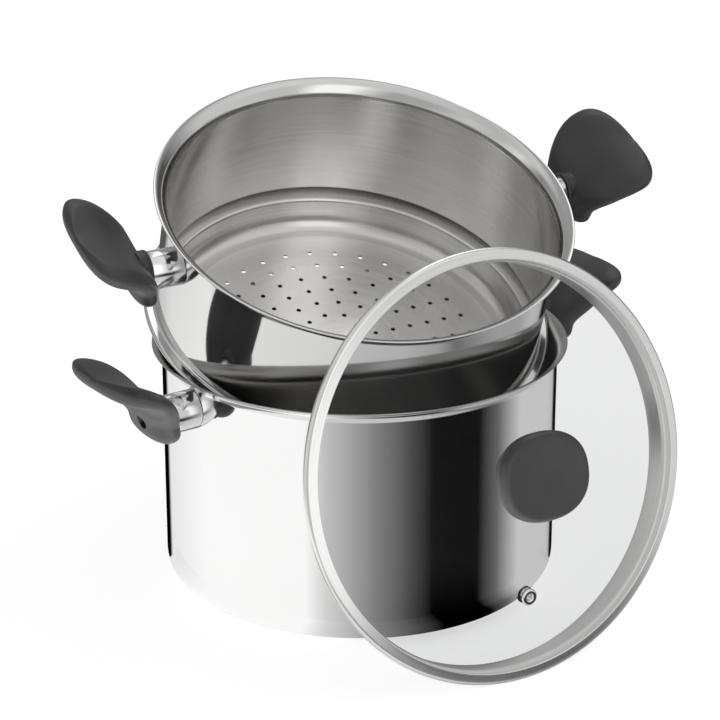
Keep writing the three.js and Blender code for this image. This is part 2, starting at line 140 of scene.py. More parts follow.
def noise(tree, where, scale, detail, roughness):
    made = addNode(tree, "ShaderNodeTexNoise", {
        "Vector": where, "Scale": scale, "Detail": detail, "Roughness": roughness})
    return made.outputs["Fac"]


def grain(tree, scale, detail=2.0, roughness=0.5):
    return noise(tree, addNode(tree, "ShaderNodeTexCoord").outputs["Object"], scale, detail, roughness)


# Noise drawn out along circles: across is its scale from circle to circle, around along them
def lineNoise(tree, length, cosine, sine, across, around, detail, roughness=0.65):
    ring = addNode(tree, "ShaderNodeCombineXYZ", {
        "X": sums(tree, "MULTIPLY", cosine, around),
        "Y": sums(tree, "MULTIPLY", sine, around),
        "Z": sums(tree, "MULTIPLY", length, across)})
    return noise(tree, ring.outputs[0], 1.0, detail, roughness)


# Fine lines that run round a turned piece: its map holds length along the profile, then share of a turn
def turnLines(tree, across, around, detail=3.0):
    where = addNode(tree, "ShaderNodeUVMap", uv_map="turning").outputs[0]
    part = addNode(tree, "ShaderNodeSeparateXYZ", {0: where})
    angle = sums(tree, "MULTIPLY", part.outputs["Y"], 2 * pi)
    cosine, sine = sums(tree, "COSINE", angle), sums(tree, "SINE", angle)
    return lineNoise(tree, part.outputs["X"], cosine, sine, across, around, detail)


def turnTangent(tree):
    return addNode(tree, "ShaderNodeTangent", direction_type="UV_MAP", uv_map="turning").outputs[0]


# The same on a flat disc, whose map holds the place on the disc
def discWays(tree):
    where = addNode(tree, "ShaderNodeUVMap", uv_map="flat").outputs[0]
    outward = vectorSums(tree, "NORMALIZE", {0: where})["Vector"]
    part = addNode(tree, "ShaderNodeSeparateXYZ", {0: outward}).outputs
    return where, part["X"], part["Y"]


def discLines(tree, across, around, detail):
    where, cosine, sine = discWays(tree)
    reach = vectorSums(tree, "LENGTH", {0: where})["Value"]
    return lineNoise(tree, reach, cosine, sine, across, around, detail)


def discTangent(tree):
    cosine, sine = discWays(tree)[1:]
    first = addNode(tree, "ShaderNodeTangent", direction_type="UV_MAP", uv_map="flat").outputs[0]
    normal = addNode(tree, "ShaderNodeNewGeometry").outputs["Normal"]
    second = vectorSums(tree, "CROSS_PRODUCT", {0: normal, 1: first})["Vector"]
    alongFirst = vectorSums(tree, "SCALE", {0: first, "Scale": cosine})["Vector"]
    alongSecond = vectorSums(tree, "SCALE", {0: second, "Scale": sine})["Vector"]
    return vectorSums(tree, "ADD", {0: alongFirst, 1: alongSecond})["Vector"]


def clearTree(holder):
    holder.use_nodes = True
    holder.node_tree.nodes.clear()
    return holder.node_tree


def makeFinish(name, recipe, look, kind="ShaderNodeBsdfPrincipled"):
    finish = bpy.data.materials.new(name)
    tree = clearTree(finish)
    surface = addNode(tree, kind, recipe(tree, look))
    addNode(tree, "ShaderNodeOutputMaterial", {"Surface": surface.outputs[0]})
    return finish


def bumpFrom(tree, height, strength, distance):
    made = addNode(tree, "ShaderNodeBump", {
        "Height": height, "Strength": strength, "Distance": distance * mm})
    return made.outputs["Normal"]


def blendNoise(tree, first, second, share):
    return sums(tree, "ADD", sums(tree, "MULTIPLY", first, share), sums(tree, "MULTIPLY", second, 1 - share))


noiseSpan = {"usual": (0.3, 0.7), "resin": (0.32, 0.68), "smear": (0.45, 0.8)}  # the values spread out
noiseDetail = {"fine": 2.0, "broad": 1.0, "speck": 3.0}
relief = {"hair": 0.02, "line": 0.05, "grain": 0.12}  # height of each bump


def mirrorSteel(tree, look):
    hair = turnLines(tree, *look["hair"])
    return {
        "Base Color": blendColour(tree, grain(tree, look["cloud"]), *look["colours"]),
        "Metallic": 1.0,
        "Roughness": spread(tree, hair, *look["rough"], *noiseSpan["usual"]),
        "Normal": bumpFrom(tree, hair, look["depth"], relief["hair"])}


def brushedSteel(tree, look, lines=turnLines, tangent=turnTangent, fineShare=0.6):
    fine = lines(tree, *look["fine"], noiseDetail["fine"])
    both = blendNoise(tree, fine, lines(tree, *look["broad"], noiseDetail["broad"]), fineShare)
    return {
        "Base Color": blendColour(tree, spread(tree, both, 0.0, 1.0, *noiseSpan["usual"]), *look["colours"]),
        "Metallic": 1.0,
        "Roughness": spread(tree, both, *look["rough"], *noiseSpan["usual"]),
        "Anisotropic": look["stretch"],
        "Tangent": tangent(tree),
        "Normal": bumpFrom(tree, fine, look["depth"], relief["line"])}


def brushedDisc(tree, look):
    return brushedSteel(tree, look, discLines, discTangent)


def plainMetal(tree, look):
    speck = grain(tree, look["speck"], noiseDetail["speck"])
    return {
        "Base Color": blendColour(tree, speck, *look["colours"]),
        "Metallic": 1.0,
        "Roughness": spread(tree, speck, *look["rough"], *noiseSpan["usual"])}


def mouldedResin(tree, look, speckShare=0.55, speckRoughness=0.6):
    speck = grain(tree, look["speck"], noiseDetail["speck"], speckRoughness)
    both = blendNoise(tree, speck, grain(tree, look["cloud"]), speckShare)
    return {
        "Base Color": blendColour(tree, spread(tree, both, 0.0, 1.0, *noiseSpan["resin"]), *look["colours"]),
        "Roughness": spread(tree, both, *look["rough"], *noiseSpan["usual"]),
        "Specular IOR Level": look["gloss"],
        "Normal": bumpFrom(tree, speck, look["depth"], relief["grain"])}


def clearGlass(tree, look):
    smear = grain(tree, look["smear"])
    return {
        "Base Color": blendColour(tree, smear, *look["colours"]),
        "Roughness": spread(tree, smear, *look["rough"], *noiseSpan["smear"]),
        "Transmission Weight": 1.0,
        "IOR": look["bend"]}


# Colours run from dark to light and rough from least to most; hair, fine and broad are lines, with
# their scale across and along; cloud, speck and smear are noise scales, and depth is a bump's strength
looks = {
    "potOutside": (mirrorSteel, {
        "colours": ((0.84, 0.84, 0.835), (0.88, 0.88, 0.876)), "cloud": 9.0, "hair": (1400.0, 5.0),
        "rough": (0.02, 0.05), "depth": 0.02}),
    "basketOutside": (mirrorSteel, {
        "colours": ((0.69, 0.69, 0.685), (0.74, 0.74, 0.732)), "cloud": 11.0, "hair": (1100.0, 7.0),
        "rough": (0.04, 0.09), "depth": 0.05}),
    "sleeve": (mirrorSteel, {
        "colours": ((0.82, 0.82, 0.82), (0.88, 0.88, 0.88)), "cloud": 60.0, "hair": (900.0, 2.0),
        "rough": (0.12, 0.20), "depth": 0.03}),
    "brushedWall": (brushedSteel, {
        "colours": ((0.65, 0.638, 0.62), (0.75, 0.74, 0.725)), "fine": (3000.0, 1.6), "broad": (420.0, 1.0),
        "rough": (0.18, 0.27), "stretch": 0.75, "depth": 0.03}),
    # the pot's inside is darker than its outside: painted shade for the dim inside of the pot
    "potInsidePaintedShade": (brushedSteel, {
        "colours": ((0.52, 0.51, 0.50), (0.58, 0.57, 0.56)), "fine": (2600.0, 4.0), "broad": (300.0, 1.0),
        "rough": (0.22, 0.26), "stretch": 0.6, "depth": 0.05}),
    "brushedFloor": (brushedDisc, {
        "colours": ((0.78, 0.77, 0.755), (0.88, 0.875, 0.865)), "fine": (700.0, 0.9), "broad": (160.0, 0.5),
        "rough": (0.22, 0.28), "stretch": 0.8, "depth": 0.015}),
    "band": (brushedSteel, {
        "colours": ((0.78, 0.78, 0.77), (0.92, 0.92, 0.91)), "fine": (2400.0, 2.0), "broad": (900.0, 1.0),
        "rough": (0.19, 0.27), "stretch": 0.5, "depth": 0.06}),
    "skirt": (brushedSteel, {
        "colours": ((0.80, 0.80, 0.79), (0.93, 0.93, 0.92)), "fine": (2400.0, 2.0), "broad": (700.0, 1.0),
        "rough": (0.34, 0.42), "stretch": 0.3, "depth": 0.05}),
    "fixing": (plainMetal, {
        "colours": ((0.40, 0.40, 0.40), (0.56, 0.56, 0.555)), "speck": 900.0, "rough": (0.28, 0.42)}),
    "core": (plainMetal, {
        "colours": ((0.66, 0.66, 0.67), (0.76, 0.76, 0.77)), "speck": 400.0, "rough": (0.38, 0.5)}),
    "resin": (mouldedResin, {
        "colours": ((0.029, 0.029, 0.030), (0.049, 0.049, 0.050)), "speck": 2600.0, "cloud": 55.0,
        "rough": (0.36, 0.48), "gloss": 0.55, "depth": 0.25}),
    "rubber": (mouldedResin, {
        "colours": ((0.016, 0.016, 0.016), (0.03, 0.03, 0.03)), "speck": 1800.0, "cloud": 90.0,
        "rough": (0.6, 0.75), "gloss": 0.3, "depth": 0.2}),
    "glass": (clearGlass, {
        "colours": ((0.786, 0.791, 0.791), (0.800, 0.805, 0.805)), "smear": 14.0, "rough": (0.0, 0.015),
        "bend": 1.17}),
}
finishes = {name: makeFinish(name, recipe, look) for name, (recipe, look) in looks.items()}
print("finishes made:", len(finishes))


# Profiles are (radius, height) points; the last number of an outline point is its finish slot
def bow(centre, radius, start, end, steps):
    points = []
    for i in range(steps + 1):
        angle = radians(start + (end - start) * i / steps)
        points.append((centre[0] + radius * cos(angle), centre[1] + radius * sin(angle)))
    return points


def beside(line, distance):
    moved = []
    for i, point in enumerate(line):
        here = Vector(point)
        arriving = (here - Vector(line[i - 1])).normalized() if i else None
        leaving = (Vector(line[i + 1]) - here).normalized() if i + 1 < len(line) else arriving
        arriving = arriving or leaving
        side = Vector((arriving.y + leaving.y, -arriving.x - leaving.x)) / (1 + arriving.dot(leaving))
        moved.append(tuple(here + side * distance))
    return moved


def inSlot(points, slot):
    return [(*point, slot) for point in points]


# A rounded sheet edge: half a turn from the right side of a line's end to its left side
def roundedEdge(line, thickness, steps=6):
    end, before = Vector(line[-1]), Vector(line[-2])
    heading = degrees(atan2(end.y - before.y, end.x - before.x))
    return bow(line[-1], thickness / 2, heading - 90, heading + 90, steps)[1:-1]


# The length of a line up to each of its points
def lengthsAlong(points):
    lengths = [0.0]
    for before, after in zip(points, points[1:]):
        lengths.append(lengths[-1] + (after - before).length)
    return lengths


turnSegments = 256
onAxis = 1e-6  # a ring of points with a smaller radius is one point


def anglesOf(sides):
    return [2 * pi * j / sides for j in range(sides)]


# Faces between rings of points, with a map of the lengths along the piece and the shares of a turn
def ringMesh(name, rings, lengths, slots, closed):
    verts, rows = [], []
    for ring in rings:
        rows.append(range(len(verts), len(verts) + len(ring)))
        verts += ring
    sides = max(len(row) for row in rows)
    faces, uvs = [], []
    for i in range(len(rows) if closed else len(rows) - 1):
        lower, upper = rows[i], rows[(i + 1) % len(rows)]
        for j in range(sides):
            corners = [(lower, i, j), (lower, i, j + 1), (upper, i + 1, j + 1), (upper, i + 1, j)]
            if len(lower) == 1:
                corners.pop(1)
            elif len(upper) == 1:
                corners.pop(2)
            faces.append([row[turn % len(row)] for row, station, turn in corners])
            uvs.extend(part for row, station, turn in corners for part in (lengths[station], turn / sides))
    mesh = newMesh(name, verts, faces)
    mesh.uv_layers.new(name="turning").data.foreach_set("uv", uvs)
    for face in mesh.polygons:
        face.material_index = slots[face.index // sides]
    return mesh


def turnedMesh(name, outline, place, segments=turnSegments, closed=False):
    spots = [Vector(point[:2]) for point in outline]
    lengths = [length * mm for length in lengthsAlong(spots + spots[:1])]
    rings = []
    for spot in spots:
        angles = [0.0] if spot.x < onAxis else anglesOf(segments)
        around = [(spot.x * cos(angle), spot.x * sin(angle), spot.y) for angle in angles]
        rings.append([place @ (Vector(point) * mm) for point in around])
    return ringMesh(name, rings, lengths, [point[2] for point in outline], closed)


sheetEdge, mouldedEdge = 35.0, 40.0  # edges sharper than this, in degrees, stay sharp


def makePiece(name, mesh, finishNames, sharpAngle=sheetEdge):
    for finishName in finishNames:
        mesh.materials.append(finishes[finishName])
    mesh.shade_smooth()
    mesh.set_sharp_from_angle(angle=radians(sharpAngle))
    return addObject(name, mesh)


def applyModifiers(piece):
    depsgraph = bpy.context.evaluated_depsgraph_get()
    mesh = bpy.data.meshes.new_from_object(piece.evaluated_get(depsgraph))
    piece.modifiers.clear()
    piece.data = mesh
    return mesh


def carve(piece, tool, operation):
    modifier = piece.modifiers.new("carve", "BOOLEAN")
    modifier.operation = operation
    modifier.solver = "EXACT"
    modifier.object = tool
    applyModifiers(piece)
    bpy.data.objects.remove(tool)


def settle(piece, body, slotName, *nodeNames):
    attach(piece, body)
    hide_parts(*nodeNames)


# Sheet steel that the pot and the basket share
sheet = {
    "thickness": 0.8,
    "rimRadius": 126.0,  # outer edge of both flared rims
    "rimSweep": 75.0,  # degrees
    "rimSteps": 12,
}


def flare(wallRadius, top):
    half = sheet["thickness"] / 2
    sweep = radians(sheet["rimSweep"])
    bend = (sheet["rimRadius"] - half - wallRadius) / (1 - cos(sweep))
    start = top - (half + bend) * sin(sweep)
    return bow((wallRadius + bend, start), bend, 180, 180 - sheet["rimSweep"], sheet["rimSteps"])


def sheetOutline(line, outsideSlot, insideSlot, rimSlot):
    half = sheet["thickness"] / 2
    rim, inside = roundedEdge(line, sheet["thickness"]), beside(line, -half)[::-1]
    rim += inside[:sheet["rimSteps"]]
    inside = inSlot(inside[sheet["rimSteps"]:], insideSlot)
    return inSlot(beside(line, half), outsideSlot) + inSlot(rim, rimSlot) + inside


# Pot
pot = {
    "radius": 120.0,
    "height": 149.4,
    "corner": 14.5,
    "cornerSteps": 12,
    "footSteps": 10,
    "baseThickness": 4.0,
    "baseSkin": 0.9,
    "seam": 0.1,  # between the base and the shell
    "coreReach": 0.3,  # the base's hollow ends this far outside the flat of its underside
    "handleAzimuth": -144.5,
    "handleDrop": 19.2,
    "upright": Matrix.Identity(4),
}


def makePot():
    half = sheet["thickness"] / 2
    floor = pot["baseThickness"] + pot["seam"] + half
    centre = (pot["radius"] - pot["corner"], pot["corner"])
    bend = pot["corner"] - half
    lowest = degrees(asin((floor - centre[1]) / bend))
    line = [(0.0, floor), (centre[0] / 2, floor)]
    line += bow(centre, bend, lowest, 0, pot["cornerSteps"])
    line += flare(pot["radius"] - half, pot["height"])
    # the rim takes the inside finish too, with its painted shade
    mesh = turnedMesh("potShell", sheetOutline(line, 0, 1, 1), pot["upright"])
    shell = makePiece("potShell", mesh, ["potOutside", "potInsidePaintedShade"])
    settle(shell, "pot", "polished_steel", "pot_body")

    top = pot["baseThickness"]
    turn = degrees(asin((top - centre[1]) / pot["corner"]))
    coreRadius = centre[0] + pot["coreReach"]
    cap = [(0.0, 0.0)] + bow(centre, pot["corner"], -90, turn, pot["footSteps"])
    cap += [(coreRadius, top), (coreRadius, pot["baseSkin"]), (0.0, pot["baseSkin"])]
    mesh = turnedMesh("potBase", inSlot(cap, 0), pot["upright"])
    settle(makePiece("potBase", mesh, ["potOutside"]), "pot", "polished_steel", "pot_base_cap")


makePot()
print("pot made")


# Where a tipped piece lies: tilted about Y, turned about Z, then moved
def leaning(place, tilt, azimuth):
    turn = Matrix.Rotation(radians(azimuth), 4, "Z") @ Matrix.Rotation(radians(tilt), 4, "Y")
    return Matrix.Translation(Vector(place) * mm) @ turn


# Basket: its own frame has the middle plane of the seat bead at height 0
basket = {
    "radius": 118.2,
    "wallHeight": 83.2,  # bead to the top of the rim
    "beadReach": 6.8,
    "beadFold": 1.3,
    "beadFillet": 2.4,
    "bendSteps": 12,
    "filletSteps": 6,
    "seatSlope": 3.5,
    "lowerStep": 4.4,
    "lowerFillet": 2.0,
    "drop": 26.8,  # bead to the underside of the floor
    "corner": 11.0,
    "plateInset": 1.0,  # the floor plate ends this far inside the corner
    "weld": 0.002,  # points nearer than this are joined
    "flatness": 0.5,  # a face that rises more than this lies flat
    "holeRadius": 1.5,
    "holePoints": 18,
    "ringPitch": 12.05,
    "firstRing": 2,
    "ringCount": 6,
    "holesPerStep": 4,
    "handleAzimuth": -85.4,
    "handleDrop": 22.2,
    "lying": leaning((-7.714, 18.777, 160.34), 21.447, -67.668),
}


# Geometry Nodes helpers: a tree's inputs are the mesh it starts from and one for each of its settings
def startTree(name, settings):
    tree = bpy.data.node_groups.new(name, "GeometryNodeTree")
    tree.interface.new_socket("Start", in_out="INPUT", socket_type="NodeSocketGeometry")
    kinds = {float: "Float", int: "Int", bpy.types.Material: "Material"}
    for label, value in settings.items():
        tree.interface.new_socket(label, in_out="INPUT", socket_type="NodeSocket" + kinds[type(value)])
    tree.interface.new_socket("Mesh", in_out="OUTPUT", socket_type="NodeSocketGeometry")
    return tree, addNode(tree, "NodeGroupInput").outputs


def shaped(tree, kind, inputs, **settings):
    return addNode(tree, "GeometryNode" + kind, inputs, **settings).outputs[0]


def closeTree(tree, shape, steel):
    real = shaped(tree, "RealizeInstances", {"Geometry": shape})
    painted = shaped(tree, "SetMaterial", {"Geometry": real, "Material": steel})
    addNode(tree, "NodeGroupOutput", {"Mesh": painted})
    return tree


def joinShapes(tree, *shapes):
    made = addNode(tree, "GeometryNodeJoinGeometry")
    for shape in shapes:
        tree.links.new(shape, made.inputs[0])
    return made.outputs[0]


def circleOf(tree, points, radius):
    return shaped(tree, "CurvePrimitiveCircle", {"Resolution": points, "Radius": radius})


# A round plate pierced by rings of holes; each ring has a few more holes than the one inside it
def perforatedPlateTree(settings):
    tree, given = startTree("perforatedPlate", settings)
    loopStart = addNode(tree, "GeometryNodeRepeatInput")
    loopEnd = addNode(tree, "GeometryNodeRepeatOutput")
    loopStart.pair_with_output(loopEnd)
    tree.links.new(given["Ring Count"], loopStart.inputs["Iterations"])
    number = sums(tree, "ADD", loopStart.outputs["Iteration"], given["First Ring"])
    count = sums(tree, "MULTIPLY", sums(tree, "ADD", number, 1.0), given["Holes Per Step"])
    ring = circleOf(tree, count, sums(tree, "MULTIPLY", number, given["Ring Pitch"]))
    grown = joinShapes(tree, loopStart.outputs["Geometry"], ring)
    tree.links.new(grown, loopEnd.inputs["Geometry"])
    spin = addNode(tree, "ShaderNodeCombineXYZ", {"Z": given["Turn"]})
    turned = shaped(tree, "Transform", {
        "Geometry": loopEnd.outputs["Geometry"], "Rotation": spin.outputs[0]})
    hole = circleOf(tree, given["Hole Points"], given["Hole Radius"])
    holes = shaped(tree, "InstanceOnPoints", {"Points": turned, "Instance": hole})
    loose = shaped(tree, "RealizeInstances", {"Geometry": holes})
    edge = circleOf(tree, given["Edge Points"], given["Plate Radius"])
    face = shaped(tree, "FillCurve", {"Curve": joinShapes(tree, loose, edge)}, mode="TRIANGLES")
    raised = shaped(tree, "ExtrudeMesh", {
        "Mesh": face, "Offset Scale": given["Thickness"], "Individual": False}, mode="FACES")
    shell = joinShapes(tree, raised, shaped(tree, "FlipFaces", {"Mesh": face}))
    merged = shaped(tree, "MergeByDistance", {"Geometry": shell, "Distance": given["Weld"]})
    return closeTree(tree, merged, given["Steel"])


def grownMesh(name, tree, settings, start=None):
    holder = addObject(name, start or bpy.data.meshes.new(name))
    modifier = holder.modifiers.new("grow", "NODES")
    modifier.node_group = tree
    names = {item.name: item.identifier for item in tree.interface.items_tree if item.in_out == "INPUT"}
    for label, value in settings.items():
        modifier[names[label]] = value
    mesh = applyModifiers(holder)
    bpy.data.objects.remove(holder)
    return mesh


def makeBasket():
    half = sheet["thickness"] / 2
    wall = basket["radius"] - half
    lowerWall = wall - basket["lowerStep"]
    floor = -basket["drop"] + half
    corner = basket["corner"] - half
    fold, fillet, lower = basket["beadFold"], basket["beadFillet"], basket["lowerFillet"]
    plateRadius = lowerWall - corner - basket["plateInset"]
    seat = -fold - basket["seatSlope"]
    line = [(plateRadius, floor)]
    line += bow((lowerWall - corner, floor + corner), corner, -90, 0, basket["bendSteps"])
    line += bow((lowerWall + lower, seat - lower), lower, 180, 90, basket["filletSteps"])
    line += bow((wall + basket["beadReach"] - fold, 0.0), fold, -90, 90, basket["bendSteps"])
    line += bow((wall + fillet, fold + fillet), fillet, 270, 180, basket["filletSteps"])
    line += [(wall, basket["wallHeight"] / 2)]
    line += flare(wall, basket["wallHeight"])
    shell = turnedMesh("basketWall", sheetOutline(line, 0, 1, 0), Matrix.Identity(4))

    settings = {
        "Plate Radius": plateRadius * mm, "Thickness": sheet["thickness"] * mm,
        "Hole Radius": basket["holeRadius"] * mm, "Ring Pitch": basket["ringPitch"] * mm,
        "First Ring": basket["firstRing"], "Ring Count": basket["ringCount"],
        "Holes Per Step": basket["holesPerStep"], "Turn": radians(basket["handleAzimuth"]),
        "Edge Points": turnSegments, "Hole Points": basket["holePoints"], "Weld": basket["weld"] * mm,
        "Steel": finishes["brushedFloor"]}
    plate = grownMesh("basketPlate", perforatedPlateTree(settings), settings)
    plate.transform(Matrix.Translation((0, 0, -basket["drop"] * mm)))

    # the plate takes the place of a flat floor: its outer edge is dropped and its points meet the wall's
    joined = bmesh.new()
    joined.from_mesh(shell)
    wallFaces = len(joined.faces)
    joined.from_mesh(plate)
    joined.faces.ensure_lookup_table()
    joined.loops.layers.uv.new("flat")
    turning, flat = joined.loops.layers.uv["turning"], joined.loops.layers.uv["flat"]
    rimFaces = []
    for face in joined.faces[wallFaces:]:
        middle = face.calc_center_median()
        upright = abs(face.normal.z) < basket["flatness"]
        if upright and middle.xy.length > (plateRadius - basket["holeRadius"]) * mm:
            rimFaces.append(face)
        face.material_index = 2 if face.normal.z > basket["flatness"] else 0
        start = atan2(middle.y, middle.x)
        for corner in face.loops:
            spot = corner.vert.co.xy
            turn = atan2(spot.y, spot.x) - start
            turn = (turn + pi) % (2 * pi) - pi
            corner[turning].uv = (spot.length, (start + turn) / (2 * pi))
            corner[flat].uv = spot
    bmesh.ops.delete(joined, geom=rimFaces, context="FACES_ONLY")
    bmesh.ops.remove_doubles(joined, verts=joined.verts, dist=basket["weld"] * mm)
    mesh = bpy.data.meshes.new("basketShell")
    joined.to_mesh(mesh)
    joined.free()
    mesh.transform(basket["lying"])
    piece = makePiece("basketShell", mesh, ["basketOutside", "brushedWall", "brushedFloor"])
    settle(piece, "basket", "basket_steel", "basket_body")


makeBasket()
print("basket made")


# Handles: built with the wall at x = 0 on the handle's axis, pointing along +X
sleeve = {
    "length": 19.5,
    "halfWidth": 11.0,
    "halfHeight": 12.0,
    "wall": 1.0,
    "wallGap": 0.1,
    "edge": ((0.0, 0.5), (0.15, 0.15), (0.5, 0.0)),  # along the axis, and in from the outside
    "sides": 96,
}
screw = {
    "headRadius": 4.2,
    "headThickness": 2.4,
    "headSides": 32,
    "shankRadius": 2.45,
    "shankSides": 20,
    "end": 5.0,
    "slotWidth": 1.2,
    "slotShare": 1.3,  # a slot's length over the head's radius
}
grip = {
    "collarRim": 1.2,
    "collarStart": 19.7,
    "collarSteps": ((0.0, 1.0), (0.0, 0.35), (0.3, 0.08), (0.8, 0.0),
                    (1.5, 0.0), (1.7, 0.25), (2.0, 0.25), (2.2, 0.0)),
    "collarSides": 64,
    "rootReach": 26.5,  # at the neck
    "footReach": 24.6,  # the root leans out from here
    "rootDepth": 7.8,
    "rootWidth": 24.5,
    "rootFoot": 13.0,
    "footLength": 0.7,  # share of the root that is rounded off
    "neckWidth": 25.0,
    "neckHeight": 2.0,
    "bendRise": 27.0,
    "paddleReach": 39.0,
    "paddleRise": 33.4,
    "paddleWidth": 39.5,
    "paddleDepth": 4.8,
    "underside": 1.85,  # the under side is this much deeper than the upper side
    "widest": 0.66,  # share of the paddle's length
    "swell": 1.1,  # how early the paddle widens
    "fullness": 2.3,  # how squarely the root is rounded
    "tipFullness": 2.7,  # the same for the tip
    "rimFullness": 3.2,  # the same for the paddle's edge
    "leafStart": 0.6,  # share of the root where its section starts to become the paddle's
    "leafEnd": 0.3,  # share of the paddle where it has
    "ridge": 0.86,  # share of the half width where the ridge runs
    "flankTaper": 0.19,  # the upper face is narrower than the outline
    "dish": 4.2,  # how far the upper face dips
    "dishEdge": 0.9,  # share of the height where the dish is whole
    "tipBand": 4.5,  # the upper face ends this far short of the tip
    "tipThinning": 0.7,  # how late the tip thins
    "crownFall": 1.5,  # how late the taper and the tip's band set in
    "recessFloor": 24.5,
    "recessRadius": 4.5,
}


def smoothShare(value, low, high):
    share = min(max((value - low) / (high - low), 0.0), 1.0)
    return share * share * (3 - 2 * share)


def mixed(first, second, share):
    return first + (second - first) * share


ellipse = 2.0  # the power that gives a plain ellipse; a higher one is squarer


# The way round an oval
def ovalWay(angle, power):
    ways = cos(angle), sin(angle)
    return [copysign(abs(way) ** (ellipse / power), way) for way in ways]


# The grip's middle line: up the root, round the bend and out along the paddle
def gripSpine(rootSamples=60, samples=400):
    foot = Vector((grip["footReach"], -grip["rootFoot"]))
    neck = Vector((grip["rootReach"], grip["neckHeight"]))
    bend = neck + (neck - foot) * (grip["bendRise"] - grip["neckHeight"]) / (neck.y - foot.y)
    tip = Vector((grip["rootReach"] + grip["paddleReach"], grip["paddleRise"]))
    rootLength = (neck - foot).length
    points = [foot.lerp(neck, i / rootSamples) for i in range(rootSamples)]
    for i in range(samples + 1):
        t = i / samples
        points.append(neck * (1 - t) ** 2 + bend * 2 * t * (1 - t) + tip * t * t)
    lengths = lengthsAlong(points)
    return points, lengths, rootLength / lengths[-1]


def spineAt(points, lengths, share):
    wanted = share * lengths[-1]
    i = 1
    while i < len(lengths) - 1 and lengths[i] < wanted:
        i += 1
    part = (wanted - lengths[i - 1]) / (lengths[i] - lengths[i - 1])
    ahead = (points[i] - points[i - 1]).normalized()
    return points[i - 1].lerp(points[i], part), ahead


def gripRings(sections=110, sides=112, margin=0.0001):
    points, lengths, rootShare = gripSpine()
    rings = []
    for i in range(sections + 1):
        share = min(max((1 - cos(pi * i / sections)) / 2, margin), 1 - margin)
        root = min(share / rootShare, 1.0)
        paddle = max((share - rootShare) / (1 - rootShare), 0.0)
        footRound = sqrt(1 - (1 - min(root / grip["footLength"], 1.0)) ** 2)
        swell = sin(pi / 2 * min(paddle / grip["widest"], 1.0)) ** grip["swell"]
        ending = max((paddle - grip["widest"]) / (1 - grip["widest"]), 0.0)
        tipRound = (1 - ending ** grip["tipFullness"]) ** (1 / grip["tipFullness"])
        if root < 1.0:
            width = mixed(grip["rootWidth"], grip["neckWidth"], root) * footRound
        else:
            width = mixed(grip["neckWidth"], grip["paddleWidth"], swell) * tipRound
        thinning = smoothShare(share, rootShare / 2, (1 + rootShare) / 2)
        tipThin = tipRound ** grip["tipThinning"]
        depth = mixed(grip["rootDepth"], grip["paddleDepth"], thinning) * footRound * tipThin
        leaf = smoothShare(share, rootShare * grip["leafStart"],
                           rootShare + (1 - rootShare) * grip["leafEnd"])
        power = mixed(grip["fullness"], grip["rimFullness"], leaf)
        centre, ahead = spineAt(points, lengths, share)
        ring = []
        for angle in anglesOf(sides):
            across, down = ovalWay(angle, power)
            upward = max(0.0, -down) ** grip["crownFall"]
            side = across * width * (1 - grip["flankTaper"] * leaf * upward)
            inside = max(0.0, 1 - (across / grip["ridge"]) ** 2)
            level = down * depth * (mixed(1.0, grip["underside"], leaf) if down > 0 else 1.0)
            level += grip["dish"] * leaf * tipRound * inside * smoothShare(-down, 0.0, grip["dishEdge"])
            back = grip["tipBand"] * paddle * upward * tipThin
            x = centre.x + ahead.y * level - ahead.x * back
            z = centre.y - ahead.x * level - ahead.y * back
            ring.append(Vector((x, side, z)) * mm)
        rings.append(ring)
    return rings


def faceOutward(mesh):
    fixed = bmesh.new()
    fixed.from_mesh(mesh)
    bmesh.ops.recalc_face_normals(fixed, faces=fixed.faces)
    fixed.to_mesh(mesh)
    fixed.free()


# A solid whose sections are the rings, closed by a flat face at each end
def skinned(name, rings):
    verts, sides = [spot for ring in rings for spot in ring], len(rings[0])
    last = len(verts) - sides
    faces = []
    for start in range(0, last, sides):
        for j in range(start, start + sides):
            k = start + (j + 1) % sides
            faces.append([j, k, k + sides, j + sides])
    faces += [list(range(sides))[::-1], list(range(last, len(verts)))]
    mesh = newMesh(name, verts, faces)
    faceOutward(mesh)
    return mesh


def ovalRing(reach, halfWidth, halfHeight, sides):
    spots = [(reach, halfWidth * cos(angle), halfHeight * sin(angle)) for angle in anglesOf(sides)]
    return [Vector(spot) * mm for spot in spots]


def collarMesh():
    widest = sleeve["halfWidth"] + grip["collarRim"]
    tallest = sleeve["halfHeight"] + grip["collarRim"]
    sides = grip["collarSides"]
    rings = []
    for along, inset in grip["collarSteps"]:
        rings.append(ovalRing(grip["collarStart"] + along, widest - inset, tallest - inset, sides))
    rings.append(ovalRing(grip["rootReach"], widest, tallest, sides))
    return skinned("collar", rings)


def sleeveMesh(wallRadius):
    edge, length, thick = sleeve["edge"], sleeve["length"], sleeve["wall"]
    stations = [(0, along, inset) for along, inset in edge]
    stations += [(0.5, 0.0, 0.0)]
    stations += [(1, -along, inset) for along, inset in reversed(edge)]
    stations += [(1, 0.0, thick), (0, 0.0, thick)]
    rings = []
    for share, shift, inset in stations:
        ring = []
        for angle in anglesOf(sleeve["sides"]):
            y = (sleeve["halfWidth"] - inset) * cos(angle)
            z = (sleeve["halfHeight"] - inset) * sin(angle)
            atWall = sqrt(wallRadius ** 2 - y * y) - wallRadius + sleeve["wallGap"]
            ring.append(Vector((mixed(atWall, length, share) + shift, y, z)) * mm)
        rings.append(ring)
    lengths = [i * mm for i in range(len(rings) + 1)]
    mesh = ringMesh("sleeve", rings, lengths, [0] * len(rings), closed=True)
    faceOutward(mesh)
    return mesh


def roundBar(radius, start, end, sides=48):
    return skinned("roundBar", [ovalRing(reach, radius, radius, sides) for reach in (start, end)])


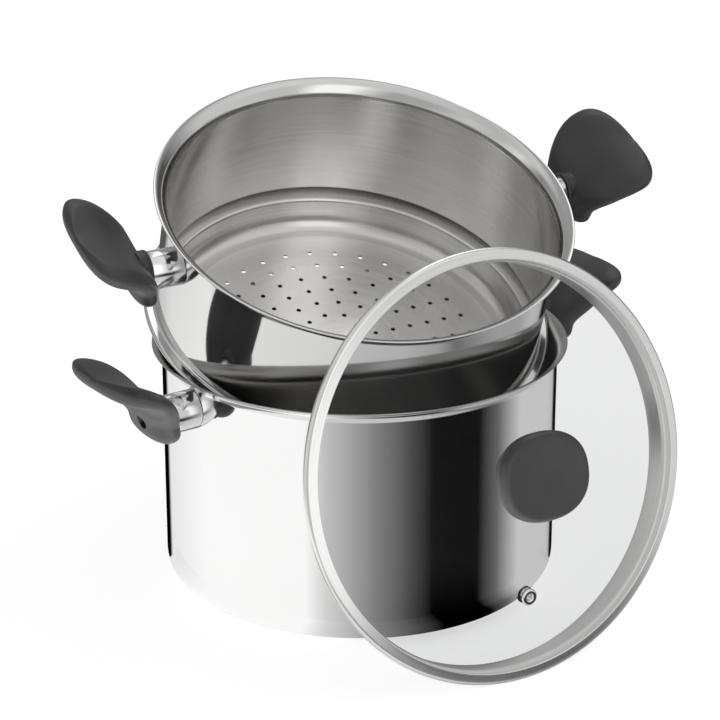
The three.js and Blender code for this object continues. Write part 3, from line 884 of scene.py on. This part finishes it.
def gripMesh():
    blank = makePiece("gripBlank", skinned("grip", gripRings()), ["resin"])
    carve(blank, makePiece("collarBlank", collarMesh(), ["resin"]), "UNION")
    outside = grip["rootReach"] + grip["paddleReach"]
    recess = roundBar(grip["recessRadius"], grip["recessFloor"], outside)
    carve(blank, makePiece("recessTool", recess, ["resin"]), "DIFFERENCE")
    mesh = blank.data
    bpy.data.objects.remove(blank)
    return mesh


def lifted(tree, shape, height):
    lift = addNode(tree, "ShaderNodeCombineXYZ", {"Z": height})
    return shaped(tree, "Transform", {"Geometry": shape, "Translation": lift.outputs[0]})


# Screws with a cross slot, set on points that hold the way each screw faces
def crossScrewTree(settings):
    tree, given = startTree("crossScrews", settings)
    whole = addNode(tree, "GeometryNodeMeshBoolean", operation="UNION")
    thick = given["Head Thickness"]
    slot = sums(tree, "MULTIPLY", given["Head Radius"], given["Slot Share"]), given["Slot Width"]
    for radius, length, middle, sides in (
            (given["Head Radius"], thick, 0.5, given["Head Sides"]),
            (given["Shank Radius"], given["Shank Length"], -0.5, given["Shank Sides"])):
        bar = shaped(tree, "MeshCylinder", {"Vertices": sides, "Radius": radius, "Depth": length})
        moved = lifted(tree, bar, sums(tree, "MULTIPLY", length, middle))
        tree.links.new(moved, whole.inputs["Mesh 2"])
    slotted = whole.outputs["Mesh"]
    for first, second in (slot, slot[::-1]):
        size = addNode(tree, "ShaderNodeCombineXYZ", {"X": first, "Y": second, "Z": thick})
        block = lifted(tree, shaped(tree, "MeshCube", {"Size": size.outputs[0]}), thick)
        slotted = shaped(tree, "MeshBoolean", {"Mesh 1": slotted, "Mesh 2": block}, operation="DIFFERENCE")
    facing = shaped(tree, "InputNamedAttribute", {"Name": "facing"}, data_type="FLOAT_VECTOR")
    turn = addNode(tree, "FunctionNodeAlignRotationToVector", {"Vector": facing}, axis="Z")
    placed = shaped(tree, "InstanceOnPoints", {
        "Points": given["Start"], "Instance": slotted, "Rotation": turn.outputs[0]})
    return closeTree(tree, placed, given["Steel"])


def makeScrews(body, places, tree, settings):
    seatSpot = Vector((grip["recessFloor"], 0, 0)) * mm
    seats = newMesh("seats", [place @ seatSpot for place in places])
    facing = seats.attributes.new("facing", "FLOAT_VECTOR", "POINT")
    ways = [place.to_3x3() @ Vector((1, 0, 0)) for place in places]
    facing.data.foreach_set("vector", [part for way in ways for part in way])
    mesh = grownMesh(body + "Screws", tree, settings, seats)
    mesh.materials.clear()
    screws = makePiece(body + "Screws", mesh, ["fixing"])
    settle(screws, body, "fixing_steel", body + "_left_screw", body + "_right_screw")


def makeHandles():
    moulding = gripMesh()
    settings = {
        "Head Radius": screw["headRadius"] * mm, "Head Sides": screw["headSides"],
        "Head Thickness": screw["headThickness"] * mm,
        "Shank Radius": screw["shankRadius"] * mm, "Shank Sides": screw["shankSides"],
        "Shank Length": (grip["recessFloor"] - screw["end"]) * mm,
        "Slot Width": screw["slotWidth"] * mm, "Slot Share": screw["slotShare"],
        "Steel": finishes["fixing"]}
    screwTree = crossScrewTree(settings)
    for body, vessel, upright, height in (
            ("pot", pot, pot["upright"], pot["height"]),
            ("basket", basket, basket["lying"], basket["wallHeight"])):
        places = []
        for side, turn in (("left", 0.0), ("right", 180.0)):
            out = Vector((vessel["radius"], 0, height - vessel["handleDrop"])) * mm
            swing = Matrix.Rotation(radians(vessel["handleAzimuth"] + turn), 4, "Z")
            place = upright @ swing @ Matrix.Translation(out)
            places.append(place)
            name, node = body + side.capitalize(), f"{body}_{side}"
            shape = moulding.copy()
            shape.transform(place)
            shape.materials.clear()
            piece = makePiece(name + "Grip", shape, ["resin"], mouldedEdge)
            settle(piece, body, "bakelite", node + "_grip")
            tube = sleeveMesh(vessel["radius"])
            tube.transform(place)
            settle(makePiece(name + "Sleeve", tube, ["sleeve"]), body, "sleeve_steel", node + "_sleeve")
        makeScrews(body, places, screwTree, settings)


makeHandles()
print("handles made")


# Lid: its own frame has the rim's plane at height 0 and the knob on +Z
lid = {
    "radius": 124.2,
    "glassThickness": 4.0,
    "glassRise": 24.0,
    "domeSteps": 40,
    "edgeSteps": 10,
    "gap": 0.15,
    "bandSheet": 0.8,
    "bandLip": 6.6,
    "noseSteps": 20,
    "skirtRadius": 115.5,
    "skirtDepth": 16.0,
    "skirtShares": (1.0, 0.75, 0.5),  # of its depth, where it has rings of points
    "skirtFillet": 1.7,
    "filletSteps": 8,
    "standing": leaning((78.03, -133.0, 120.6), 75.782, -59.6),
}
vent = {
    "radius": 73.0,  # from the lid's middle
    "bore": 1.8,
    "tube": 3.0,
    "flange": 5.0,
    "thickness": 1.0,
    "edge": 0.4,  # rounding of the flange behind the glass
    "lip": 0.8,  # rounding of the bore's mouth
    "gasket": 0.8,
    "edgeSteps": 4,
    "lipSteps": 6,
    "sides": 64,
    "holeSides": 40,
    "drillReach": 30.0,  # of the tool that bores the glass, each way
}
knob = {
    "gap": 0.1,
    "foot": 16.5,
    "footEdge": ((0.0, 0.0), (2.0, 0.0), (2.7, 0.7)),  # heights and insets
    "neck": 11.5,
    "neckHeight": 3.6,
    "neckCurve": 0.8,  # how soon the neck climbs
    "flank": 17.54,  # height where the flare is nearly whole
    "flare": 0.9,  # share of the flare that it has there
    "shoulder": 23.04,  # height where the top starts to round over
    "round": 3.2,  # how far in the rounding goes
    "halfLength": 28.5,
    "halfWidth": 25.0,
    "height": 28.0,
    "dip": 1.6,  # of the top's middle
    "middle": 0.015,  # share of the top that the last ring keeps
    "square": 2.3,  # how squarely the oval is rounded
    "steps": 8,
    "topSteps": 12,
    "sides": 96,
}


def domeSizes():
    half = lid["bandSheet"] / 2
    channel = (lid["glassThickness"] + 2 * lid["gap"] + lid["bandSheet"]) / 2
    nose = lid["radius"] - half - channel
    edge = nose - lid["gap"]
    rise = lid["glassRise"] - (channel - half - lid["gap"])
    return {"channel": channel, "nose": nose, "edge": edge, "radius": (edge ** 2 + rise ** 2) / (2 * rise)}


dome = domeSizes()


def glassHeight(radius):
    return lid["glassRise"] - dome["radius"] + sqrt(dome["radius"] ** 2 - radius ** 2)


def ventPlace():
    out = vent["radius"]
    lean = Matrix.Rotation(asin(out / dome["radius"]), 4, "Y")
    return Matrix.Translation(Vector((out, 0, glassHeight(out))) * mm) @ lean


def makeGlass():
    thick, radius, steps = lid["glassThickness"], dome["radius"], lid["domeSteps"]
    centre = (0.0, lid["glassRise"] - radius)
    slope = degrees(acos(dome["edge"] / radius))
    outer = bow(centre, radius, 90, slope, steps)
    inner = bow(centre, radius - thick, slope, 90, steps)
    outer[0], inner[-1] = (0.0, outer[0][1]), (0.0, inner[-1][1])
    middle = ((outer[-1][0] + inner[0][0]) / 2, (outer[-1][1] + inner[0][1]) / 2)
    edge = bow(middle, thick / 2, slope, slope - 180, lid["edgeSteps"])[1:-1]
    outline = inSlot(reversed(outer + edge + inner), 0)
    glass = makePiece("lidGlass", turnedMesh("lidGlass", outline, Matrix.Identity(4)), ["glass"])
    hole, reach = vent["tube"] + lid["gap"], vent["drillReach"]
    drill = [(0.0, -reach, 0), (hole, -reach, 0), (hole, reach, 0), (0.0, reach, 0)]
    drillMesh = turnedMesh("ventDrill", drill, ventPlace(), vent["holeSides"])
    carve(glass, makePiece("ventDrill", drillMesh, ["glass"]), "DIFFERENCE")
    glass.data.transform(lid["standing"])
    settle(glass, "lid", "glass", "lid_glass")


def makeBand():
    half, fillet, skirt = lid["bandSheet"] / 2, lid["skirtFillet"], lid["skirtRadius"]
    lipRadius = lid["radius"] - lid["bandLip"]
    line = [(skirt, -lid["skirtDepth"] * share) for share in lid["skirtShares"]]
    line += bow((skirt + fillet, -dome["channel"] - fillet), fillet, 180, 90, lid["filletSteps"])
    skirtPoints = len(line)
    line += bow((dome["nose"], 0.0), dome["channel"], -90, 90, lid["noseSteps"])
    line += [(lipRadius, glassHeight(lipRadius) + lid["gap"] + half)]
    inside = beside(line, -half)
    outline = inSlot(beside(line, half) + roundedEdge(line, lid["bandSheet"]) + inside[skirtPoints:][::-1], 0)
    outline += inSlot(inside[:skirtPoints][::-1] + roundedEdge(line[::-1], lid["bandSheet"]), 1)
    mesh = turnedMesh("lidBand", outline, lid["standing"], closed=True)
    settle(makePiece("lidBand", mesh, ["band", "skirt"]), "lid", "band_steel", "lid_band")


def makeKnob():
    sides, steps, topSteps = knob["sides"], knob["steps"], knob["topSteps"]
    square, bloom, inset = knob["square"], knob["flare"], knob["round"]
    flank, shoulder, tall = knob["flank"], knob["shoulder"], knob["height"]
    halves = knob["halfLength"], knob["halfWidth"]
    foot = lid["glassRise"] + knob["gap"]
    rings = []

    def addRing(height, halfLength, halfWidth, power=square):
        ring = []
        for angle in anglesOf(sides):
            across, along = ovalWay(angle, power)
            ring.append(Vector((-along * halfWidth, across * halfLength, foot + height)) * mm)
        rings.append(ring)

    def flared(share):
        return [mixed(knob["neck"], half, share) for half in halves]

    for height, edge in knob["footEdge"]:
        addRing(height, knob["foot"] - edge, knob["foot"] - edge, ellipse)
    for i in range(steps + 1):
        share = i / steps
        height = mixed(knob["neckHeight"], flank, share ** knob["neckCurve"])
        addRing(height, *flared(smoothShare(share, 0.0, 1.0) * bloom), mixed(ellipse, square, share))
    quarter = [pi / 2 * i / steps for i in range(1, steps + 1)]
    for angle in quarter:
        addRing(mixed(flank, shoulder, 1 - cos(angle)), *flared(mixed(bloom, 1.0, sin(angle))))
    for angle in quarter:
        over = inset * (1 - cos(angle))
        addRing(mixed(shoulder, tall, sin(angle)), *[half - over for half in halves])
    for i in range(1, topSteps + 1):
        share = i / topSteps
        dip = knob["dip"] * sin(pi / 2 * share)
        addRing(tall - dip, *[(half - inset) * mixed(1.0, knob["middle"], share) for half in halves])
    mesh = skinned("lidKnob", rings)
    mesh.transform(lid["standing"])
    settle(makePiece("lidKnob", mesh, ["resin"], mouldedEdge), "lid", "bakelite", "lid_knob")


def makeVent():
    front = vent["gasket"] + 2 * lid["gap"]
    back = -lid["glassThickness"] - lid["gap"]
    thick, flange, tube = vent["thickness"], vent["flange"], vent["tube"]
    bore, edge, lip = vent["bore"], vent["edge"], vent["lip"]
    outline = [(bore, back - thick), (flange - edge, back - thick)]
    outline += bow((flange - edge, back - thick + edge), edge, -90, 0, vent["edgeSteps"])
    outline += [(flange, back), (tube, back), (tube, front), (flange, front)]
    outline += bow((flange - thick, front), thick, 0, 90, vent["lipSteps"])
    outline += bow((bore + lip, front + thick - lip), lip, 90, 180, vent["lipSteps"])
    place = lid["standing"] @ ventPlace()
    mesh = turnedMesh("ventEyelet", inSlot(outline, 0), place, vent["sides"], closed=True)
    settle(makePiece("ventEyelet", mesh, ["sleeve"]), "lid", "sleeve_steel", "lid_vent_eyelet")


makeGlass()
makeBand()
makeKnob()
makeVent()
for piece in scene.objects:
    if piece.name.startswith(("lid", "vent")):
        hideFrom(piece, "glossy")  # the pot's wall mirrors the studio and not the lid
print("lid made")


# Inner pieces that keep their solids
innerFinishes = {
    "stud": "fixing", "core": "core", "knob_screw": "fixing", "washer": "fixing", "gasket": "rubber"}
for nodeName, node in cadNodes.items():
    for ending, finishName in innerFinishes.items():
        if nodeName.endswith(ending):
            node.data.materials.clear()
            node.data.materials.append(finishes[finishName])
print("inner pieces finished")


# Studio: four bands of light stand round the object, one above the other. Each is a list of places and
# strengths; a place is a share of the turn from straight behind, by the left and the camera, to behind
studio = {
    "low": ((0.0, 0.45), (0.18, 0.62), (0.197, 0.20), (0.275, 0.27), (0.29, 0.80), (0.5, 0.66),
            (0.62, 0.6), (0.70, 0.45), (0.74, 0.2), (0.82, 0.45), (1.0, 0.45)),
    "level": ((0.0, 0.0), (0.07, 0.0), (0.085, 0.72), (0.21, 0.91), (0.41, 0.91), (0.445, 0.62),
              (0.523, 0.25), (0.583, 0.07), (0.62, 0.0), (0.705, 0.0), (0.745, 0.14), (0.80, 0.65),
              (0.90, 0.62), (0.927, 0.5), (0.938, 0.0), (1.0, 0.0)),
    "high": ((0.0, 0.3), (0.06, 0.26), (0.14, 0.32), (0.22, 0.25), (0.27, 0.75), (0.32, 0.5),
             (0.37, 0.6), (0.43, 0.42), (0.49, 0.4), (0.525, 0.75), (0.545, 1.05), (0.59, 1.05),
             (0.62, 0.6), (0.64, 0.55), (0.71, 0.6), (0.78, 0.6), (0.84, 0.24), (0.87, 0.08),
             (0.91, 0.08), (0.95, 0.2), (1.0, 0.3)),
    "top": ((0.0, 1.2), (0.02, 1.0), (0.05, 0.32), (0.15, 0.35), (0.22, 0.62), (0.33, 0.5), (0.5, 0.6),
            (0.67, 0.7), (0.78, 0.6), (0.845, 0.32), (0.885, 0.32), (0.925, 1.3), (1.0, 1.2)),
    # heights of the line of sight at which each band takes over from the one below
    "meets": {"level": (-0.58, -0.50), "high": (-0.34, -0.22), "top": (0.5, 0.72)},
    "seen": 1.2,  # strength of the bands in mirrors
    "softBox": (0.6, -0.35, 0.7),  # where the soft light on plain pieces comes from
    "softSpan": (-0.2, 0.95),  # how it widens
    "softLight": (0.06, 0.78),  # strength away from it and in it
    "fillPlace": (-150.0, -560.0, -330.0),  # light thrown up by the pale table in front
    "fillAim": (-60.0, -60.0, 150.0),
    "fillSize": 240.0,
    "fillPower": 9.5,
    "floorSize": 12.0,  # metres
    "floorColours": ((0.62, 0.62, 0.62), (0.64, 0.64, 0.64)),
    "floorCloud": 3.0,
    "floorRough": 0.9,
    "floorGlow": 0.67,
    "footCard": (109.3, 150.0),  # radii of the half ring that the rounded foot mirrors
    "footCardSide": 13.0,  # its inner edge is this much wider at the sides
    "footCardEase": 22.0,  # degrees
    "footCardDrop": 0.5,
    "footCardSteps": 64,
    "footShares": (0.09, 0.91),  # the part of the level band that it shows
    "footTurns": (-85.5, 88.0),  # degrees from the front
}
white = (1.0, 1.0, 1.0, 1.0)


def lightRamp(tree, share, stops):
    ramp = addNode(tree, "ShaderNodeValToRGB", {"Fac": share})
    elements = ramp.color_ramp.elements
    while len(elements) < len(stops):
        elements.new(0.5)
    for element, (place, value) in zip(elements, stops):
        element.position = place
        element.color = (value, value, value, 1.0)
    return ramp.outputs["Color"]


# A direction or place, its height, and its angle round the object
def wayRound(tree, source):
    where = addNode(tree, "ShaderNodeTexCoord").outputs[source]
    part = addNode(tree, "ShaderNodeSeparateXYZ", {0: where}).outputs
    return where, part["Z"], sums(tree, "ARCTAN2", part["X"], sums(tree, "MULTIPLY", part["Y"], -1.0))


def makeWorld():
    scene.world = bpy.data.worlds.new("studio")
    tree = clearTree(scene.world)
    way, height, azimuth = wayRound(tree, "Generated")
    share = spread(tree, azimuth, 0.0, 1.0, -pi, pi)
    bands = lightRamp(tree, share, studio["low"])
    for band, span in studio["meets"].items():
        climb = spread(tree, height, 0.0, 1.0, *span)
        bands = blendColour(tree, climb, bands, lightRamp(tree, share, studio[band]))
    mirrored = addNode(tree, "ShaderNodeBackground", {"Color": bands, "Strength": studio["seen"]})
    towards = vectorSums(tree, "DOT_PRODUCT", {0: way, 1: studio["softBox"]})["Value"]
    soft = spread(tree, towards, *studio["softLight"], *studio["softSpan"])
    plain = addNode(tree, "ShaderNodeBackground", {"Color": white, "Strength": soft})
    clear = addNode(tree, "ShaderNodeBackground", {"Color": white, "Strength": 1.0})
    path = addNode(tree, "ShaderNodeLightPath")
    lit = addNode(tree, "ShaderNodeMixShader", {
        0: path.outputs["Is Diffuse Ray"], 1: clear.outputs[0], 2: plain.outputs[0]})
    both = addNode(tree, "ShaderNodeMixShader", {
        0: path.outputs["Is Glossy Ray"], 1: lit.outputs[0], 2: mirrored.outputs[0]})
    addNode(tree, "ShaderNodeOutputWorld", {"Surface": both.outputs[0]})


def paleFloor(tree, look):
    return {
        "Base Color": blendColour(tree, grain(tree, look["floorCloud"]), *look["floorColours"]),
        "Roughness": look["floorRough"],
        "Emission Color": white,
        "Emission Strength": look["floorGlow"]}


def makeFloor():
    half = studio["floorSize"] / 2
    corners = [(-half, -half, 0), (half, -half, 0), (half, half, 0), (-half, half, 0)]
    mesh = newMesh("floor", corners, [(0, 1, 2, 3)])
    mesh.materials.append(makeFinish("floor", paleFloor, studio))
    floor = addObject("floor", mesh)
    # the polished walls mirror the studio and not the floor, and the fill comes up through it
    hideFrom(floor, "glossy", "diffuse", "shadow")


def footGlow(tree, look):
    turns = [radians(turn) for turn in look["footTurns"]]
    share = spread(tree, wayRound(tree, "Object")[2], *look["footShares"], *turns)
    return {"Color": lightRamp(tree, share, look["level"]), "Strength": look["seen"]}


# The foot mirrors a half ring just under the table in front, which goes on with the wall's light and dark
def makeFootCard():
    steps, drop = studio["footCardSteps"], studio["footCardDrop"]
    verts = []
    for i in range(steps + 1):
        turn = pi * (1 + i / steps)
        fromSide = 180 * min(i, steps - i) / steps
        inner, outer = studio["footCard"]
        inner += studio["footCardSide"] * exp(-fromSide / studio["footCardEase"])
        for radius in (inner, outer):
            verts.append(Vector((radius * cos(turn), radius * sin(turn), -drop)) * mm)
    mesh = newMesh("footCard", verts, [(2 * i, 2 * i + 1, 2 * i + 3, 2 * i + 2) for i in range(steps)])
    mesh.materials.append(makeFinish("footCard", footGlow, studio, "ShaderNodeEmission"))
    card = addObject("footCard", mesh)
    hideFrom(card, "camera", "diffuse", "transmission", "shadow")


def makeFill():
    data = bpy.data.lights.new("tableFill", "AREA")
    data.size = studio["fillSize"] * mm
    data.energy = studio["fillPower"]
    fill = addObject("tableFill", data)
    pointAt(fill, studio["fillPlace"], studio["fillAim"])
    hideFrom(fill, "camera", "glossy", "transmission")


makeWorld()
makeFloor()
makeFootCard()
makeFill()
scene.view_settings.view_transform = "Standard"
print("studio made")
